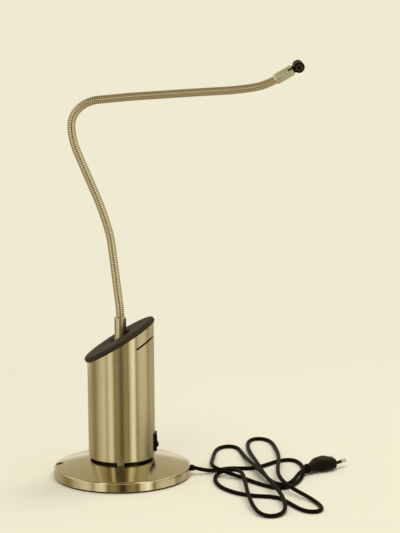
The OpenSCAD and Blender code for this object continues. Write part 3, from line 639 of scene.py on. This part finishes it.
def tube_wall(name, outer, inner, low, edge=0.25, steps=288):
    """A tube from the height low up to the slanted cut, with a small bevel on all four edges."""
    def ring(r, z, slanted):
        loop = []
        for k in range(steps):
            a = 2 * math.pi * (k + 0.5) / steps
            x, y = r * math.cos(a), r * math.sin(a)
            loop.append(Vector((x, y, (BODY_H + math.tan(SLANT) * x if slanted else 0) + z)) * MM)
        return loop
    bottom, top = ring(outer, low + edge, False), ring(outer, -edge, True)
    rows = [ring(outer - edge, low, False), bottom]
    for t in (0.25, 0.5, 0.75):
        rows.append([Vector((a.x, a.y, a.z + (b.z - a.z) * t)) for a, b in zip(bottom, top)])
    rows += [top, ring(outer - edge, 0, True), ring(inner + edge, 0, True), ring(inner, -edge, True),
             ring(inner, low + edge, False), ring(inner + edge, low, False)]
    return loops_mesh(name, rows, closed=True, material=tube_metal, shade_angle=40)


tube = tube_wall("body_shell", TUBE_R, TUBE_R - WALL, dome(TUBE_R) + BODY_GAP)
slit_outline = [(60, -SLIT_HALF), (60, SLIT_HALF)]
slit_outline += [(SLIT_HALF * math.cos(rad(a)), SLIT_HALF * math.sin(rad(a))) for a in range(90, 271, 15)]
slit = prism_cutter(slit_outline, -60, 60, SLOPE @ shift(SLIT_X, 0, -SLIT_DROP))
switch_hole = box_cutter((20, -SWITCH_HALF, SWITCH_LOW), (60, SWITCH_HALF, SWITCH_TOP))
cut(tube, slit, switch_hole)
dress(tube, "stand", "brushed_nickel", "body_tube")

foot_outline = rounded([(TUBE_R, FOOT_TOP), (TUBE_R, FOOT_LOW),
                        (TUBE_R - WALL, FOOT_LOW), (TUBE_R - WALL, FOOT_TOP)], 0.15)
foot_half = math.degrees(math.asin(FOOT_W / 2 / TUBE_R))
for n, turn in enumerate((-90, 30, 150)):
    angles = [rad(turn + foot_half * s) for s in (-1, -0.96, -0.6, -0.3, 0, 0.3, 0.6, 0.96, 1)]
    loops = [[Vector((r * math.cos(a), r * math.sin(a), z)) * MM for r, z in foot_outline] for a in angles]
    foot = loops_mesh("tube_foot_%d" % (n + 1), loops, material=tube_metal, shade_angle=40)
    dress(foot, "stand", "brushed_nickel")

# ---- lid: an oval plate on the slant, with a slot for the neck ----
OVERHANG, LID_T, TOP_ROUND, LOW_ROUND = 1.5, 5.0, 2.4, 1.3
LID_A, LID_B = TUBE_R / math.cos(SLANT) + OVERHANG, TUBE_R + OVERHANG
SLOT_X, SLOT_HALF, SLOT_R = 2.4, 6.0, 7.0
LID_STEPS = 192


def ellipse(grow, z):
    """The lid's outline on the slope, moved out by grow."""
    turns = [2 * math.pi * k / LID_STEPS for k in range(LID_STEPS)]
    a, b = LID_A + grow, LID_B + grow
    return [SLOPE @ (Vector((a * math.cos(t), b * math.sin(t), z)) * MM) for t in turns]


def stadium(grow, z):
    """The slot's outline, with one point for each of the rim's."""
    half, r, loop = SLOT_HALF, SLOT_R + grow, []
    for k in range(LID_STEPS):
        a = 2 * math.pi * k / LID_STEPS
        aim = math.atan2(math.sin(a) * LID_B, math.cos(a) * LID_A)
        c, s = math.cos(aim), math.sin(aim)
        if abs(s) > 1e-9 and abs(c / s) * r <= half:
            x, y = c / abs(s) * r, math.copysign(r, s)
        else:
            end = math.copysign(half, c)
            reach = end * c + math.sqrt(max(0.0, (end * c) ** 2 - half * half + r * r))
            x, y = reach * c, reach * s
        loop.append(SLOPE @ (Vector((SLOT_X + x, y, z)) * MM))
    return loop


lid_loops = [stadium(0, 0.3), stadium(0, LID_T - 0.5), stadium(0.15, LID_T - 0.15), stadium(0.5, LID_T)]
lid_loops += [ellipse(TOP_ROUND * (math.sin(rad(a)) - 1), LID_T - TOP_ROUND + TOP_ROUND * math.cos(rad(a)))
              for a in range(0, 91, 15)]
lid_loops += [ellipse(LOW_ROUND * (math.cos(rad(a)) - 1), LOW_ROUND - LOW_ROUND * math.sin(rad(a)))
              for a in range(0, 91, 18)]
lid_loops += [stadium(0.3, 0)]
lid = loops_mesh("lid_plate", lid_loops, closed=True, material=lid_paint, shade_angle=50)
dress(lid, "stand", "lid_grey", "lid")

# ---- ferrule at the neck's foot ----
NECK_BORE = 4.55
FERRULE_LOW, FERRULE_R, FERRULE_TOP = 130, 6.5, 178
ferrule = lathe("neck_ferrule", rounded([
    (FERRULE_R, FERRULE_LOW), (FERRULE_R, 176.7), (5.2, FERRULE_TOP), (NECK_BORE, FERRULE_TOP),
    (NECK_BORE, NECK_FOOT_Z), (5.0, 151), (5.0, FERRULE_LOW)], 0.25), 72, material=tube_metal, shade_angle=40)
dress(ferrule, "neck_foot", "brushed_nickel", "lower_ferrule")

# ---- head: slotted collet, round lamp holder with two pin holes, and its cap ----
COLLET_R, COLLET_L, COLLET_GRIP, SAW_L, SAW_HALF = 5.8, 21.4, 6, 5, 0.9
HOLDER_AT, HOLDER_TURN, PIN_HALF = 28.6, 17, 2
end_x, end_z, end_lean = neck_at(neck_length)
HEAD = shift(end_x, 0, end_z) @ turned(end_lean, "Y") @ shift(0, 0, -COLLET_GRIP)
collet = lathe("head_collet", rounded([
    (NECK_BORE, 0), (5.0, 0), (COLLET_R, 2.2), (COLLET_R, COLLET_L), (4.16, COLLET_L), (4.16, 11.2),
    (4.8, 11.2), (4.8, 8), (3.0, 8), (3.0, COLLET_GRIP), (NECK_BORE, COLLET_GRIP)], 0.12), 96, HEAD,
    material=collet_metal, shade_angle=40)
cut(collet, *[box_cutter((2, -SAW_HALF, COLLET_L - SAW_L), (9, SAW_HALF, 30), HEAD @ turned(a, "Z"))
              for a in (-110, 10, 130)])
dress(collet, "neck_link_9", "brushed_nickel", "collet")

HOLDER = HEAD @ shift(0, 0, HOLDER_AT) @ turned(HOLDER_TURN, "Z")
FACE = HOLDER @ turned(90, "X")
holder = lathe("lamp_holder_body", [
    (0.02, -3.2), (4.6, -3.2), (4.6, -5.0), (4.7, -5.2), (5.3, -5.2), (5.8, -5.05), (6.05, -4.6), (6.1, -4.1),
    (6.1, 3.9), (6.05, 4.5), (5.8, 4.95), (5.3, 5.2), (3.3, 5.2), (3.2, 5.1), (3.2, 4.75), (2.4, 4.7),
    (2.3, 4.9), (0.02, 4.9)], 96, FACE, closed=False, material=black_gloss, shade_angle=40)
cut(holder, *[rod_cutter(0.95, -3, 9, FACE @ shift(x)) for x in (-PIN_HALF, PIN_HALF)])
dress(holder, "head", "black_gloss", "lamp_holder")
# The ring on the holder's face is painted pale grey, a painted highlight.
highlight_ring = lathe("holder_front_ring", rounded([(3.5, 4.6), (3.5, 5.2), (3.0, 5.2), (3.0, 4.6)], 0.1), 64,
                  FACE, material=ring_highlight_grey, shade_angle=40)
dress(highlight_ring, "head", "black_gloss")
stem = lathe("lamp_holder_stem", rounded([
    (1.6, 8.3), (4.65, 8.3), (4.65, 10.9), (4.1, 10.9), (4.1, 23.9), (1.6, 23.9)], 0.15), 64, HEAD,
    material=black_gloss, shade_angle=40)
dress(stem, "head", "black_gloss")
cap = lathe("holder_back_cap", rounded([
    (0.02, 3.3), (4.55, 3.3), (4.55, 5.0), (1.8, 5.05), (1.6, 4.8), (0.02, 4.8)], 0.2), 64,
    HOLDER @ turned(-90, "X"), material=black_plastic, shade_angle=40)
dress(cap, "head", "black_plastic", "holder_cap")

# ---- studio: a round floor, painted near the lamp and fading into the backdrop's own level ----
floor_tint = srgb(240, 234, 211)
floor_radii = (2, 250, 600, 1500, 4000, 12000, 60000)
floor = lathe("floor", [(r, 0) for r in floor_radii], 96, closed=False, caps=False)
floor_look = bpy.data.materials.new("floor")
floor_look.use_nodes = True
tree = floor_look.node_tree
tree.nodes.clear()
out = tree.nodes.new("ShaderNodeOutputMaterial")
paint = tree.nodes.new("ShaderNodeBsdfDiffuse")
paint.inputs["Color"].default_value = floor_tint
glow = tree.nodes.new("ShaderNodeEmission")
glow.inputs["Color"].default_value = floor_tint
where = tree.nodes.new("ShaderNodeTexCoord")
far = tree.nodes.new("ShaderNodeVectorMath")
far.operation = "LENGTH"
fade = tree.nodes.new("ShaderNodeMapRange")
fade.interpolation_type = "SMOOTHSTEP"
fade.inputs["From Min"].default_value, fade.inputs["From Max"].default_value = 0.3, 0.9
both = tree.nodes.new("ShaderNodeMixShader")
tree.links.new(where.outputs["Object"], far.inputs[0])
tree.links.new(far.outputs["Value"], fade.inputs["Value"])
tree.links.new(fade.outputs["Result"], both.inputs["Fac"])
tree.links.new(paint.outputs[0], both.inputs[1])
tree.links.new(glow.outputs[0], both.inputs[2])
tree.links.new(both.outputs[0], out.inputs[0])
floor.data.materials.append(floor_look)
floor.visible_glossy = False

# The room that the metal mirrors: upright panels of light between dimmer gaps, by bearing from the front.
ROOM_BANDS = [
    (-180, 0.6), (-150, 0.56), (-125, 0.52), (-109, 0.36), (-96, 0.34), (-90, 0.5), (-82, 0.64), (-60, 0.94),
    (-47, 0.54), (-42, 0.96), (-34, 1.15), (-27, 0.9), (-22.5, 0.25), (-12, 0.35), (-5, 0.22), (0, 0.05),
    (7, 0.05), (11, 0.26), (22, 0.36), (27, 0.16), (30, 0.34), (35, 1.0), (48, 1.5), (52, 0.95), (57, 0.32),
    (64, 0.68), (76, 0.84), (101, 0.82), (105, 0.44), (130, 0.62), (150, 0.48), (180, 0.5),
]
# By bearing again, for the higher part of the walls.
HIGH_BANDS = [
    (-180, 0.5), (-128, 0.5), (-120, 1.2), (-102, 1.2), (-92, 0.6), (-78, 0.7), (-63, 0.4), (-53, 0.18),
    (-42, 0.24), (-38, 1.4), (-30, 1.4), (-26, 0.03), (-5, 0.01), (10, 0.02), (14, 0.12), (22, 0.24),
    (28, 0.6), (32, 1.5), (47, 1.5), (53, 0.8), (62, 0.36), (72, 0.8), (95, 0.85), (125, 0.7), (180, 0.5),
]
# By the sine of the height: straight above and below, and the wall behind with its low bright strip.
ROOM_HEIGHTS = [(-1, 0.55), (-0.55, 0.5), (0, 0.6), (0.78, 0.5), (0.9, 0.4), (0.97, 0.3), (1, 0.3)]
REAR_HEIGHTS = [(-1, 0.5), (-0.14, 0.5), (-0.02, 0.95), (0.08, 0.95), (0.2, 0.58), (1, 0.5)]
FULL_LEVEL = 1.5
world = bpy.data.worlds.new("studio")
scene.world = world
world.use_nodes = True
tree = world.node_tree
nodes, link = tree.nodes, tree.links.new
nodes.clear()


def calc(operation, *values):
    """A math node over numbers or sockets."""
    node = nodes.new("ShaderNodeMath")
    node.operation = operation
    for socket, value in zip(node.inputs, values):
        if isinstance(value, (int, float)):
            socket.default_value = value
        else:
            link(value, socket)
    return node.outputs[0]


def levels(stops, low, high, value):
    """A brightness curve through (place, level) stops between low and high, at the value."""
    ramp = nodes.new("ShaderNodeValToRGB")
    ramp.color_ramp.interpolation = "EASE"
    while len(ramp.color_ramp.elements) > 1:
        ramp.color_ramp.elements.remove(ramp.color_ramp.elements[0])
    for n, (place, level) in enumerate(stops):
        position = (place - low) / (high - low)
        element = ramp.color_ramp.elements[0] if n == 0 else ramp.color_ramp.elements.new(position)
        element.position = position
        element.color = (level / FULL_LEVEL,) * 3 + (1,)
    link(calc("DIVIDE", calc("SUBTRACT", value, low), high - low), ramp.inputs["Fac"])
    return calc("MULTIPLY", ramp.outputs["Color"], FULL_LEVEL)


def rise(value, start, end):
    """A smooth step from 0 at start to 1 at end."""
    step = nodes.new("ShaderNodeMapRange")
    step.interpolation_type = "SMOOTHSTEP"
    step.inputs["From Min"].default_value, step.inputs["From Max"].default_value = start, end
    link(value, step.inputs["Value"])
    return step.outputs["Result"]


def window(value, start, full, last, end):
    """1 from full to last, and 0 before start and after end."""
    return calc("MULTIPLY", rise(value, start, full), calc("SUBTRACT", 1, rise(value, last, end)))


def mixed(first, second, share):
    """From first at share 0 to second at share 1."""
    return calc("ADD", calc("MULTIPLY", first, calc("SUBTRACT", 1, share)), calc("MULTIPLY", second, share))


direction = nodes.new("ShaderNodeSeparateXYZ")
link(nodes.new("ShaderNodeTexCoord").outputs["Generated"], direction.inputs[0])
to_front = calc("MULTIPLY", direction.outputs["Y"], -1)
bearing = calc("DEGREES", calc("ARCTAN2", direction.outputs["X"], to_front))
height = direction.outputs["Z"]
level = mixed(levels(ROOM_BANDS, -180, 180, bearing), levels(ROOM_HEIGHTS, -1, 1, height),
              calc("MAXIMUM", rise(height, 0.76, 0.9), rise(calc("MULTIPLY", height, -1), 0.4, 0.7)))
# A bright strip runs low along the walls in front and at the sides.
low_strip = calc("MULTIPLY", window(height, 0.04, 0.12, 0.24, 0.34), window(bearing, -100, -70, 70, 100))
level = mixed(level, FULL_LEVEL, calc("MULTIPLY", 0.7, low_strip))
level = mixed(level, levels(HIGH_BANDS, -180, 180, bearing), window(height, 0.32, 0.42, 0.74, 0.84))
level = mixed(level, levels(REAR_HEIGHTS, -1, 1, height), rise(calc("ABSOLUTE", bearing), 128, 152))
# Dimmer light is warmer.
tint = nodes.new("ShaderNodeValToRGB")
tint.color_ramp.elements[0].position, tint.color_ramp.elements[0].color = 0.0, (0.0, 0.0, 0.0, 1)
tint.color_ramp.elements[1].position, tint.color_ramp.elements[1].color = 1.0, (1.0, 0.98, 0.90, 1)
middle = tint.color_ramp.elements.new(0.2)
middle.color = (0.216, 0.168, 0.068, 1)
link(calc("DIVIDE", level, FULL_LEVEL), tint.inputs["Fac"])
mirrored = nodes.new("ShaderNodeBackground")
link(tint.outputs["Color"], mirrored.inputs["Color"])
mirrored.inputs["Strength"].default_value = FULL_LEVEL
seen = nodes.new("ShaderNodeBackground")
seen.inputs["Color"].default_value = floor_tint
fill = nodes.new("ShaderNodeBackground")
fill.inputs["Color"].default_value = (1.0, 0.985, 0.955, 1)
fill.inputs["Strength"].default_value = 0.57
# Camera and see-through rays meet the plain backdrop, glossy rays the room, and all others the fill.
rays = nodes.new("ShaderNodeLightPath")
lit = nodes.new("ShaderNodeMixShader")
link(rays.outputs["Is Glossy Ray"], lit.inputs["Fac"])
link(fill.outputs[0], lit.inputs[1])
link(mirrored.outputs[0], lit.inputs[2])
shown = nodes.new("ShaderNodeMixShader")
seen_directly = calc("MAXIMUM", rays.outputs["Is Camera Ray"], rays.outputs["Is Transmission Ray"])
link(seen_directly, shown.inputs["Fac"])
link(lit.outputs[0], shown.inputs[1])
link(seen.outputs[0], shown.inputs[2])
link(shown.outputs[0], nodes.new("ShaderNodeOutputWorld").inputs[0])

LAMP_COLOUR = (1.0, 0.98, 0.95)


def area_light(name, place, aim, size, power):
    lamp = bpy.data.lights.new(name, "AREA")
    lamp.shape, lamp.size, lamp.energy, lamp.color = "DISK", size, power, LAMP_COLOUR
    obj = bpy.data.objects.new(name, lamp)
    obj.location = place
    obj.rotation_euler = (Vector(aim) - Vector(place)).to_track_quat("-Z", "Y").to_euler()
    obj.visible_glossy = False
    scene.collection.objects.link(obj)


area_light("key", (1.0, 0.9, 2.0), (0.05, 0, 0.1), 1.0, 12)
area_light("front", (-0.6, -1.8, 1.7), (0.05, 0, 0.0), 1.2, 9)
area_light("top", (0.1, -0.3, 2.4), (0.05, 0, 0.0), 1.6, 14)

scene.view_settings.view_transform = "Standard"
